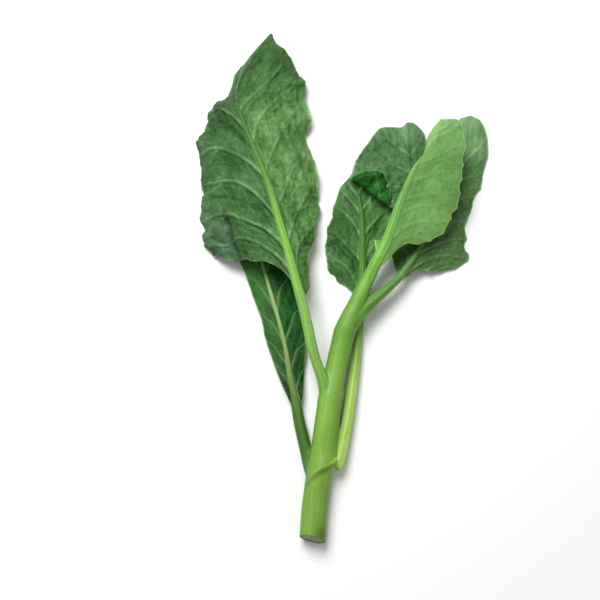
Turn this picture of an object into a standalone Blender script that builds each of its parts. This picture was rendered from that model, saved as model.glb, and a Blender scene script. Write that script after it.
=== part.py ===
"""A cut stalk of Chinese broccoli, lying down: one stem with six leaves on their stalks.

The cut end points to -Y, the leaves to +Y, and the surface that it lies on is z = 0.
The origin is the middle of the flat spot under the stem. Lengths here are in
millimetres, and MM turns them to metres.
"""

import bmesh
import bpy
import numpy as np

MM = 0.001
NAME = "chinese_broccoli"
STEM_GREEN = (0.22, 0.42, 0.08)
LEAF_GREEN = (0.07, 0.17, 0.06)

# The stem: x, y, z and radius, from the cut end to where the youngest leaf takes over
STEM = [
    (-1, -15, 6.9, 7.5),
    (0.5, 4, 6.9, 7.6),
    (3, 22, 7.7, 7.4),
    (6, 40, 8.3, 7.0),
    (9, 62, 9.0, 6.9),
    (12.5, 82, 9.8, 6.4),
    (16, 98, 10.8, 6.3),
    (20, 112, 11.9, 6.0),
    (25, 123, 13.0, 5.3),
    (28.5, 131, 14.0, 4.7),
    (32, 139, 15.0, 4.1),
]
STEM_SIDES, STEM_RINGS = 20, 48
SWELLINGS = [(29, 0.8), (67, 0.9), (109, 0.5)]  # y of each node on the stem, and its extra radius
SWELLING_LENGTH = 4.5
SCAR_Y, SCAR_RISE = 25, 4.5  # the ridge at the lowest node, and how far it climbs to the right
SCAR_HEIGHT, SCAR_WIDTH = 1.0, 1.8

# What all leaves share
BLADE_THICKNESS = 0.8
CLEARANCE = 0.3  # between one piece and the next
RIB_SIDES, RIB_RINGS = 8, 30
RIB_END = 0.97  # the rib fades out this far along its line
LOWEST_BLADE = 0.45  # height of a blade's middle where it touches the surface
TIP_WIDTH = 0.6
PUCKER = 0.8  # how far the blade sinks between its side veins
FULL_WIDTH = 25  # a half this wide has its whole relief, and a narrower one less
WAVE_HEIGHT, WAVE_REACH = 1.2, 3  # the margins' ups and downs, and how close to the margin they stay
EDGE_WAVE, EDGE_WAVES = 0.025, 1.3  # the same in the blade's own plane, and how much more often
CREASE_WIDTH, CREASE_FADE = 0.12, 0.1

# Each leaf: its stalk (x, y, z, radius), the same along the rib in the blade, and the margins
# (x, y, z), one point beside each point of the rib but the last, which is the tip. "sweep"
# bends the side veins towards the tip, and "belly" lifts the middle of each half, in the order
# left, right. "rows" and "columns" set the mesh.
LEAVES = {
    "leaf_1": dict(
        stalk=[(10, 68, 10, 4.6), (6, 76, 13.5, 3.8), (2, 86, 16.5, 3.3), (-1, 98, 19.5, 3.1),
               (-4, 112, 22, 3), (-7, 124, 24, 3)],
        rib=[(-9, 131, 25, 2.9), (-14, 150, 26.5, 2.6), (-20, 171, 27.5, 2.3), (-26.5, 194, 27.5, 2),
             (-35, 217, 26, 1.6), (-43, 238, 23, 1.2), (-47, 254, 19.5, 0.8), (-41, 276, 13, 0.5),
             (-26, 302, 4, 0.4)],
        left=[(-63, 158, 4), (-69, 171, 1.5), (-70, 189, 0.5), (-71, 208, 0.5), (-73, 228, 1),
              (-67, 245, 4), (-55, 259, 8), (-46, 279, 6)],
        right=[(-3, 134, 18.5), (-1, 157, 13), (3, 177, 8), (4, 199, 5), (0, 224, 4), (-3, 245, 5),
               (-5, 266, 6), (-14, 285, 5)],
        sweep=(0.12, 0), belly=(2.5, 2), veins=8, waves=5, rows=32, columns=12,
        crease=(0.62, 3, 0.3),  # how far across it lies, its depth, and how far up the rib it reaches
    ),
    "leaf_2": dict(
        stalk=[(28.5, 131, 14, 3.6), (33, 140, 15.3, 3.8), (37.5, 149, 18, 3.5)],
        rib=[(43, 159, 21.5, 3.3), (47, 169, 25.5, 3), (51, 181, 30, 2.5), (55.5, 192, 33.5, 1.9),
             (60.5, 203, 36, 1.5), (66, 213, 37, 1.1), (72, 223, 36.5, 0.8), (82, 235.5, 32, 0.5)],
        left=[(37, 165, 16), (59, 170, 12.5), (67, 182, 13), (73.5, 194, 14.5), (77, 207, 16.5),
              (81, 219, 18.5), (86, 230, 21.5)],
        right=[(63.5, 161, 17), (74, 165, 17), (83, 176, 18), (88, 188, 19), (89.5, 201, 20.5),
               (91.5, 215, 22), (92.5, 232, 25)],
        sweep=(0, 0.05), belly=(-2, 2), veins=6, waves=4, rows=24, columns=10,
    ),
    "leaf_3": dict(
        stalk=[(5, 19, 7.8, 3.8), (11, 26, 7.4, 4.2), (15, 33, 6.8, 4.1), (17.5, 42, 6.2, 3.9),
               (21, 57, 5.2, 3.7), (23.5, 75, 4.4, 3.4), (26, 94, 3.8, 3.1), (28, 113, 3.6, 2.7),
               (29, 123, 3.7, 2.6)],
        rib=[(29.5, 131, 3.9, 2.5), (30, 143, 4.6, 2.3), (30, 155, 5.4, 2.1), (30, 166, 6, 1.9),
             (30, 178, 6.2, 1.7), (29, 189, 6, 1.4), (27, 199, 4.8, 1), (23, 208, 3, 0.5)],
        left=[(12, 142, 1.2), (8.5, 152, 0.7), (7.5, 163, 0.6), (9, 174, 0.6), (11, 184, 0.8),
              (14, 193, 1), (17.5, 202, 1.2)],
        right=[(34.5, 141, 1), (40, 153, 0.8), (46.5, 164, 0.6), (51, 175, 0.6), (52.5, 185.5, 0.8),
               (49.5, 195, 1), (41, 204, 1.2)],
        sweep=(0.1, 0.1), belly=(1.5, 0.5), veins=7, waves=4, rows=28, columns=10,
    ),
    "leaf_4": dict(
        stalk=[(19, 107, 11.5, 5), (25.5, 117, 12, 4.7), (30, 122, 12, 4.1), (42.5, 133, 11.2, 3.5)],
        rib=[(52, 142, 10.2, 3.1), (60.5, 154, 9.2, 2.5), (66, 164, 8.8, 2.1), (72, 175, 8.4, 1.8),
             (78, 188, 8, 1.5), (85.5, 202, 7.4, 1.2), (91.5, 216, 6.4, 0.9), (96, 230, 5, 0.7),
             (100, 247, 2.6, 0.5)],
        left=[(48.5, 150, 6), (47.5, 160.5, 4.8), (51, 171, 4.2), (57, 183, 3.8), (63.5, 195.5, 3.4),
              (70.5, 209, 3), (78, 222.5, 2.4), (89, 241, 2)],
        right=[(79, 148, 1.5), (94, 154, 0.5), (94, 165, 0.5), (94, 175, 0.5), (98, 190, 0.5),
               (103.5, 202.5, 0.5), (108.5, 218, 0.6), (109, 236, 1)],
        sweep=(0, 0.1), belly=(0.5, 2), veins=8, waves=5, rows=32, columns=10,
    ),
    "leaf_5": dict(
        stalk=[(28, 130, 12.5, 2.6), (29.5, 134.5, 10.4, 2.4), (31.5, 139, 9.1, 2.2),
               (36, 147, 8.8, 2.1), (43, 158, 9, 2.1), (49, 169, 9.3, 2), (53, 178, 9.7, 1.9)],
        rib=[(56, 185, 10.2, 1.8), (58.5, 192, 11, 1.6), (60, 199, 11.6, 1.4), (61, 207, 11.8, 1.2),
             (61, 216, 11.5, 1), (60.5, 227, 10.6, 0.8), (59, 242, 8.4, 0.5)],
        left=[(29, 180.5, 8.8), (22.5, 187, 9), (19.5, 197, 9), (24.5, 211, 9), (29, 221.5, 8.8),
              (37, 233.5, 8.4)],
        right=[(63, 184, 8.6), (68, 191, 8.8), (71, 199, 8.8), (73, 208, 8.8), (73, 217.5, 8.6),
               (70.5, 229, 8.2)],
        sweep=(0, 0.1), belly=(0.3, 0.3), veins=4, waves=2, rows=24, columns=20,
        fold=((26.3, 205.4), (49.3, 186.1), 1.9),  # the ends of the line it rolls over at, and the radius
    ),
    "leaf_6": dict(
        stalk=[(2.5, 13, 5.6, 4), (-2, 28, 4.7, 3.7), (-5.5, 43, 4.3, 3.5), (-8.5, 56, 4.1, 3.3)],
        rib=[(-10, 65, 4, 3.1), (-14, 83, 3.6, 2.5), (-17, 100.5, 3.2, 2.1), (-21.5, 119, 3, 1.8),
             (-28, 142, 2.7, 1.5), (-32.5, 158, 2.4, 1.2), (-37, 175.5, 2.1, 0.9),
             (-41, 192, 1.8, 0.7), (-44.5, 208, 1.3, 0.4)],
        left=[(-13.5, 65.5, 6.2), (-23, 88.5, 3.5), (-28, 104, 2.5), (-32, 119.5, 2), (-39, 140, 1.5),
              (-46, 157, 1.2), (-51.5, 174.5, 1), (-53.5, 190.5, 1.2)],
        right=[(-7, 68, 6.5), (-5.5, 85, 4.5), (-4.5, 103, 3.5), (-5.5, 122.5, 2.5), (-9, 144.5, 2),
               (-14.5, 160.5, 1.5), (-21, 177.5, 1.2), (-30, 196, 1.2)],
        sweep=(0.1, 0.1), belly=(0.5, 0.5), veins=8, waves=4, rows=28, columns=10,
        face_up=True,  # its upper face shows, so the rib stands out below it
    ),
}


def clear_scene():
    for item in list(bpy.data.objects):
        bpy.data.objects.remove(item)


def make_collection(name):
    collection = bpy.data.collections.new(name)
    bpy.context.scene.collection.children.link(collection)
    return collection


def move_to(item, collection):
    for holder in list(item.users_collection):
        holder.objects.unlink(item)
    collection.objects.link(item)


def make_material(name, colour, roughness):
    material = bpy.data.materials.new(name)
    material.use_nodes = True
    shader = material.node_tree.nodes["Principled BSDF"]
    shader.inputs["Base Color"].default_value = (*colour, 1)
    shader.inputs["Roughness"].default_value = roughness
    shader.inputs["Metallic"].default_value = 0
    return material


def read_points(mesh):
    """The mesh's vertices as rows of x, y and z, in its own units."""
    values = np.empty(len(mesh.vertices) * 3, np.float32)
    mesh.vertices.foreach_get("co", values)
    return values.reshape(-1, 3).astype(float)


def write_points(mesh, points):
    mesh.vertices.foreach_set("co", (points * MM).ravel())
    mesh.update()


def unit(vectors):
    return vectors / np.linalg.norm(vectors, axis=-1, keepdims=True)


def smooth_line(stations, along):
    """Points on the smooth curve through the stations, at shares 0 to 1 of the way along them."""
    stations = np.asarray(stations, float)
    spans = len(stations) - 1
    place = np.clip(along, 0, 1) * spans
    first = np.minimum(place.astype(int), spans - 1)
    f = (place - first)[:, None]
    before = 2 * stations[0] - stations[1]
    after = 2 * stations[-1] - stations[-2]
    ends = np.vstack([before, stations, after])
    a, b, c, d = (ends[first + step] for step in range(4))
    square = (2 * a - 5 * b + 4 * c - d) * f**2
    cube = (3 * b - a - 3 * c + d) * f**3
    return (2 * b + (c - a) * f + square + cube) / 2


def tube_object(name, points, sides, collection):
    """A closed tube along points of x, y, z and radius, as a mesh object."""
    curve = bpy.data.curves.new(name, "CURVE")
    curve.dimensions = "3D"
    curve.bevel_depth = MM
    curve.bevel_resolution = (sides - 4) // 2
    curve.use_fill_caps = True
    spline = curve.splines.new("POLY")
    spline.points.add(len(points) - 1)
    for point, (x, y, z, radius) in zip(spline.points, points):
        point.co = (x * MM, y * MM, z * MM, 1)
        point.radius = radius
    drawn = bpy.data.objects.new(name + "_line", curve)
    collection.objects.link(drawn)
    bpy.context.view_layer.update()
    graph = bpy.context.evaluated_depsgraph_get()
    mesh = bpy.data.meshes.new_from_object(drawn.evaluated_get(graph))
    bpy.data.objects.remove(drawn)
    weld(mesh)
    mesh.name = name
    tube = bpy.data.objects.new(name, mesh)
    collection.objects.link(tube)
    return tube


def weld(mesh):
    shape = bmesh.new()
    shape.from_mesh(mesh)
    bmesh.ops.remove_doubles(shape, verts=shape.verts, dist=0.01 * MM)
    bmesh.ops.recalc_face_normals(shape, faces=shape.faces)
    shape.to_mesh(mesh)
    shape.free()


def cut(target, cutter):
    modifier = target.modifiers.new(cutter.name, "BOOLEAN")
    modifier.operation = "DIFFERENCE"
    modifier.object = cutter
    modifier.solver = "EXACT"


def as_cutter(item):
    item.hide_render = True
    item.display_type = "WIRE"


def finish(item, material, collection):
    item.data.materials.append(material)
    item.data.shade_smooth()
    item.data.set_sharp_from_angle(angle=np.radians(50))
    move_to(item, collection)


def bump(distance, height, width):
    return height * np.exp(-((distance / width) ** 2))


def shape_nodes(mesh):
    """Swells the stem at each node, and raises the scar ridge that climbs to the lowest leaf stalk."""
    points = read_points(mesh) / MM
    centre_line = smooth_line(STEM, np.linspace(0, 1, 400))
    nearest = np.abs(points[:, None, 1] - centre_line[None, :, 1]).argmin(axis=1)
    out = points - centre_line[nearest, :3]
    out[:, 1] = 0
    out = unit(out)
    extra = sum(bump(points[:, 1] - y, height, SWELLING_LENGTH) for y, height in SWELLINGS)
    ridge_y = SCAR_Y + SCAR_RISE * out[:, 0]
    upper = np.clip(out[:, 2] + 0.5, 0, 1)
    extra += upper * bump(points[:, 1] - ridge_y, SCAR_HEIGHT, SCAR_WIDTH)
    write_points(mesh, points + out * extra[:, None])


def make_stem(name, extra_radius, collection):
    """The stem, or with an extra radius the room that the leaf stalks leave round it."""
    line = smooth_line(STEM, np.linspace(0, 1, STEM_RINGS))
    ends = unit(line[[1, -1], :3] - line[[0, -2], :3]) * extra_radius
    line[0, :3] -= ends[0]
    line[-1, :3] += ends[1]
    line[:, 3] += extra_radius
    stem = tube_object(name, line, STEM_SIDES, collection)
    shape_nodes(stem.data)
    return stem


def rib_side(leaf):
    """-1 where the rib stands on top of the blade, and 1 where it is below."""
    return 1 if leaf.get("face_up") else -1


def rib_frame(leaf, along):
    """Where the blade meets the rib, and the directions forward, right and up there."""
    step = 1e-3
    line = smooth_line(leaf["rib"], along)
    ahead = smooth_line(leaf["rib"], along + step)[:, :3]
    behind = smooth_line(leaf["rib"], along - step)[:, :3]
    forward = unit(ahead - behind)
    right = unit(np.cross(forward, (0, 0, 1)))
    up = np.cross(right, forward)
    offset = line[:, 3:] + CLEARANCE + BLADE_THICKNESS / 2
    return line[:, :3] + rib_side(leaf) * offset * up, forward, right, up


def margin(leaf, side, along):
    """Points of one margin, which closes in on the tip."""
    tip, _, right, _ = rib_frame(leaf, np.array([1.0]))
    tip = tip + side * TIP_WIDTH * right
    tip[:, 2] = np.maximum(tip[:, 2], LOWEST_BLADE)
    stations = leaf["right"] if side > 0 else leaf["left"]
    return smooth_line(np.vstack([stations, tip]), along)


def blade_half(leaf, side, along, across):
    """Points of one half of the blade, at shares along the rib and across from rib to margin."""
    pick = 1 if side > 0 else 0
    root, forward, _, up = rib_frame(leaf, along)
    chord = margin(leaf, side, along) - root
    width = np.linalg.norm(chord, axis=1)
    full = np.minimum(width / FULL_WIDTH, 1)
    bow = 4 * across * (1 - across)
    turns = 2 * np.pi * along
    edge = 1 + EDGE_WAVE * np.sin(turns * leaf["waves"] * EDGE_WAVES + side) * across**4
    points = root + chord * (across * edge)[:, None]
    points += forward * (width * leaf["sweep"][pick] * bow)[:, None]
    points += up * (full * leaf["belly"][pick] * bow)[:, None]
    sink = PUCKER * (1 - np.cos(turns * leaf["veins"])) / 2 * rib_side(leaf)
    wave = WAVE_HEIGHT * np.sin(turns * leaf["waves"] + side)
    towards_tip = np.clip((1 - along) * 6, 0, 1)
    relief = sink * np.clip(across * 6, 0, 1) + wave * across**WAVE_REACH
    points[:, 2] += full * towards_tip * relief
    if "crease" in leaf and side < 0:
        points[:, 2] -= crease_drop(leaf["crease"], along, across)
    return points


def crease_drop(crease, along, across):
    """How far the outer part of the half lies below its crease, near the leaf's base."""
    at, depth, until = crease
    step = np.clip((across - at) / CREASE_WIDTH, 0, 1)
    return depth * step * step * (3 - 2 * step) * np.clip((until - along) / CREASE_FADE, 0, 1)


def roll_over(points, start, end, radius):
    """Rolls what lies left of the line from start to end up and over, round the given radius."""
    direction = unit(np.subtract(end, start))
    outward = np.array([direction[1], -direction[0]])
    beyond = (points[:, :2] - start) @ outward
    turn = np.clip(beyond / radius, 0, np.pi)
    flat = np.maximum(beyond - np.pi * radius, 0)
    rolled = np.where(beyond > 0, radius * np.sin(turn) - flat, beyond)
    points[:, :2] += (rolled - beyond)[:, None] * outward
    points[:, 2] += radius * (1 - np.cos(turn))
    return points


def blade_points(leaf, along, across):
    left = blade_half(leaf, -1, along, -across)
    right = blade_half(leaf, 1, along, across)
    points = np.where((across < 0)[:, None], left, right)
    if "fold" in leaf:
        points = roll_over(points, *leaf["fold"])
    points[:, 2] = np.maximum(points[:, 2], LOWEST_BLADE)
    return points


def make_blade(name, leaf, material, collection):
    bpy.ops.mesh.primitive_grid_add(x_subdivisions=leaf["columns"], y_subdivisions=leaf["rows"], size=2)
    blade = bpy.context.object
    blade.name = blade.data.name = name
    across, along, _ = read_points(blade.data).T
    write_points(blade.data, blade_points(leaf, (along + 1) / 2, across))
    blade.modifiers.new("Triangles", "TRIANGULATE").quad_method = "FIXED"
    wall = blade.modifiers.new("Wall", "SOLIDIFY")
    wall.thickness = BLADE_THICKNESS * MM
    wall.offset = 0
    finish(blade, material, collection)


def make_rib(name, leaf, stem_cutter, material, collection):
    """The leaf's stalk and rib, one tube that starts inside the stem and is cut back from it."""
    line = smooth_line(leaf["stalk"] + leaf["rib"], np.linspace(0, RIB_END, RIB_RINGS))
    rib = tube_object(name, line, RIB_SIDES, collection)
    cut(rib, stem_cutter)
    finish(rib, material, collection)


def make_surface_cutter(collection):
    """A slab whose top is z = 0, which leaves the stem its flat spot."""
    length, depth = 200 * MM, 20 * MM
    bpy.ops.mesh.primitive_cube_add(size=1, location=(0, length / 4, -depth / 2))
    slab = bpy.context.object
    slab.name = "surface_cutter"
    slab.scale = (length, length, depth)
    bpy.ops.object.transform_apply(location=True, rotation=False, scale=True)
    move_to(slab, collection)
    as_cutter(slab)
    return slab


def main():
    clear_scene()
    parts = make_collection(NAME)
    cutters = make_collection("cutters")
    stem_green = make_material("stem_green", STEM_GREEN, 0.45)
    leaf_green = make_material("leaf_green", LEAF_GREEN, 0.6)
    stem_cutter = make_stem("stem_clearance", CLEARANCE, cutters)
    as_cutter(stem_cutter)
    stem = make_stem("stem", 0, parts)
    cut(stem, make_surface_cutter(cutters))
    finish(stem, stem_green, parts)
    for name, leaf in LEAVES.items():
        make_rib(name + "_rib", leaf, stem_cutter, stem_green, parts)
        make_blade(name + "_blade", leaf, leaf_green, parts)


main()
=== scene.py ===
"""The looks of a cut stalk of Chinese broccoli that lies on a pale floor.

One fused piece has the stem, the leaf stalks and the ribs, and each leaf blade is a thin
veined sheet of its own. Lengths are in millimetres, and MM turns them to metres.
"""

import math

import bpy
import numpy as np
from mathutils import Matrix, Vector


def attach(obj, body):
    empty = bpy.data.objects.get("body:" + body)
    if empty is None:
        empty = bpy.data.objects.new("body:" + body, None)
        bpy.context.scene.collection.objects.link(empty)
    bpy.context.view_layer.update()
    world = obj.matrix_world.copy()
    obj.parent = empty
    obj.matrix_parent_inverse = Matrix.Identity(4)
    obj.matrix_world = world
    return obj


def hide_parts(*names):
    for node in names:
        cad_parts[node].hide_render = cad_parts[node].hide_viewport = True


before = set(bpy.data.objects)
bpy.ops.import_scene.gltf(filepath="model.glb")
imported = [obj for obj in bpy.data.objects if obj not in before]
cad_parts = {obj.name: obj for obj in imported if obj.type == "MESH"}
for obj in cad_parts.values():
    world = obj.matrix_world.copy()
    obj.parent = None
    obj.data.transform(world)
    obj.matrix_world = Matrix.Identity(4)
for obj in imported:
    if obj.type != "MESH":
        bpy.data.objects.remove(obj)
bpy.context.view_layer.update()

MM = 0.001

# The stem: x, y, z and radius, from the cut end to where the youngest leaf takes over
STEM = [
    (-1, -15, 6.9, 7.5), (0.5, 4, 6.9, 7.6), (3, 22, 7.7, 7.4), (6.1, 40, 8.3, 7.4),
    (9, 62, 9, 7.2), (12.5, 82, 9.8, 6.4), (16, 98, 10.8, 6.3), (20, 112, 11.9, 6),
    (25, 123, 13, 5.3), (28.5, 131, 14, 4.7), (32, 139, 15, 4), (34.6, 144, 16.4, 3.4),
    (37.2, 148.8, 17.9, 2.4),
]
SWELLINGS = [(29, 0.3), (69, 0.4), (109, 0.4)]  # y of each node on the stem, and its extra radius
SWELLING_LENGTH = 4.5
# The scar of a fallen leaf at the lowest node: y of its ridge from the stem's left side to its right
SCAR = ((-1, -0.5, 0, 0.4, 0.8, 1), (18, 22.6, 26, 27.6, 30, 33))
SCAR_HEIGHT = 1.2
SCAR_ABOVE, SCAR_BELOW = 6, 2.4  # it fades slowly upwards and steps down more sharply below
# Its light and its shadow: how far above the ridge, how strong and how wide
SCAR_LIGHT, SCAR_SHADOW = (0.4, 0.3, 1.1), (-2.8, 0.34, 2)
# Its right end is torn up: x, y, z and radius of the corner
SCAR_CORNER = [(9.2, 28.4, 12.6, 1.1), (10.7, 29.9, 12.1, 1.1), (12.2, 31.8, 11.4, 0.8)]
CUT_THROUGH, CUT_FACES = (-1, -13.6, 6.9), (-0.22, -0.96, 0.17)  # the knife's slanted cut
# The rings of the flesh: the size of each beside the last one, and how much deeper it lies
CUT_RINGS = [(0.95, 0), (0.94, 0.15), (0.85, 0.1), (0.8, 0), (0.7, 0), (0.6, 0), (0.4, 0)]
CUT_MERGE = 0.15
FLESH_CENTRE, FLESH_BELOW = (-1, -14, 6.9), -8  # no flesh lies further up the stem than this y
FLESH_RING = (5, 6.8)  # the distances from the centre between which it darkens
STAIN = 0.4  # how much darker the skin is beside the cut
STALK_SIDES = 28
STALK_VOXEL = 0.55
STALK_SOFTENING = 3  # how often the fused skin is smoothed
RING_SPACING = 1.0
TINT_REACH = 1.6
FLUTES, STEM_FLUTE, STALK_FLUTE = 6, 0.05, 0.16  # how many, and how high on stem and leaf stalks
LUMP_HEIGHT = 0.12
# Painted light: a lighter, yellower highlight band in the middle; painted shade: darker, greener sides
HIGHLIGHT_BAND = np.array([0.14, 0.07, 0.05])  # the middle of the stem is yellower
SHADED_SIDES = np.array([-0.2, -0.08, -0.25])
THINNEST_RIB = 0.75  # a rib thinner than this is lost when the stalk is fused, so it sinks instead
RIB_SINKS = 0.12  # the share of the rib in which it sinks into the blade at its end

# What all leaves share
BLADE_THICKNESS = 0.5
LOWEST_BLADE = 0.45  # no blade's middle lies lower
TIP_WIDTH = 0.6  # of each half
GRID_SPACING = 0.6
# Painted shade on the flap beyond a crease, which is duller and bluer
FLAP_SHADE = np.array([0.05, -0.08, 0.25, 0])  # the flap beyond a crease is duller and bluer
FULL_WIDTH = 25  # a half narrower than this has less relief
NARROW = 10  # one narrower than this loses its pale margin, and is darker near its foot
WAVE_HEIGHT, WAVE_POWER = 1.2, 3  # waves grow to the margin with this power of the share across
EDGE_WAVE, NICK = 0.025, 0.012  # how far the margin wanders, as shares of the half's width
EDGE_WAVES = 1.3  # how often it does for each wave of the margin
CREASE_WIDTH, CREASE_FADE = 0.07, 0.12  # shares across and along
PUCKER, PUCKER_REACH = 2.2, 6  # how far the blade sinks between its side veins, and how far off
VEIN_HEIGHT, VEIN_WIDTH = 0.7, 0.8
VEIN_REACH, VEIN_TOP = 0.94, 0.98  # no side vein reaches further out, or further up
VEIN_HOOK = 0.05  # a side vein leaves the rib this much lower, then turns outwards
VEIN_WANDER, VEIN_SEED = 0.008, 4
WEAK_VEIN = 3  # a vein gives way to a stronger one that is up to this much further off
GROOVE_BELOW, GROOVE_DEPTH, GROOVE_WIDTH = 1.7, 0.4, 0.9  # each side vein has one on its lower side
CELL_SIZE, CELL_DEPTH, CELL_REACH, CELL_SEED = 6.5, 0.35, 2.5, 3  # the net of small puckers
RUN_DOWN_WIDTH = 7
BASE_RIPPLE = 1.1
HOLLOW_PEAK = 9.48  # brings the highest value of x * (1 - x) ** 3 to 1
RIB_SHOWS, RIB_SHOWS_ABOVE = 0.8, 0.2  # shares of its radius, the second higher up an upper face
# Painted light on an upper face
LIT_HALF = np.array([3.3, 0.8, 1.7, 0])  # the upper face's left half is yellower and lighter
# The seam is a shallow dip, and its darkness is painted shade
SEAM_DEPTH, SEAM_WIDTH = 0.8, 1.5  # past the rib's end the blade has a shallow dark seam
PATTERN_STEP = 40  # each blade and each stalk reads its own layer of the patterns
# Noise: the size of its lumps, and its seed
STALK_LUMPS, NICKS, BASE_NICKS, PATCHES, FOLD_BENDS = (3, 5), (4, 11), (4.5, 14), (25, 12), (20, 13)
# Wrinkles and the margin's frill: height, how many times narrower than long, size and seed
WRINKLES = [(1.1, 1.5, 13, 7), (0.5, 2, 6, 8), (0.17, 1.6, 2.5, 10)]
FRILL = (1.1, 0.3, 8, 9)
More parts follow.
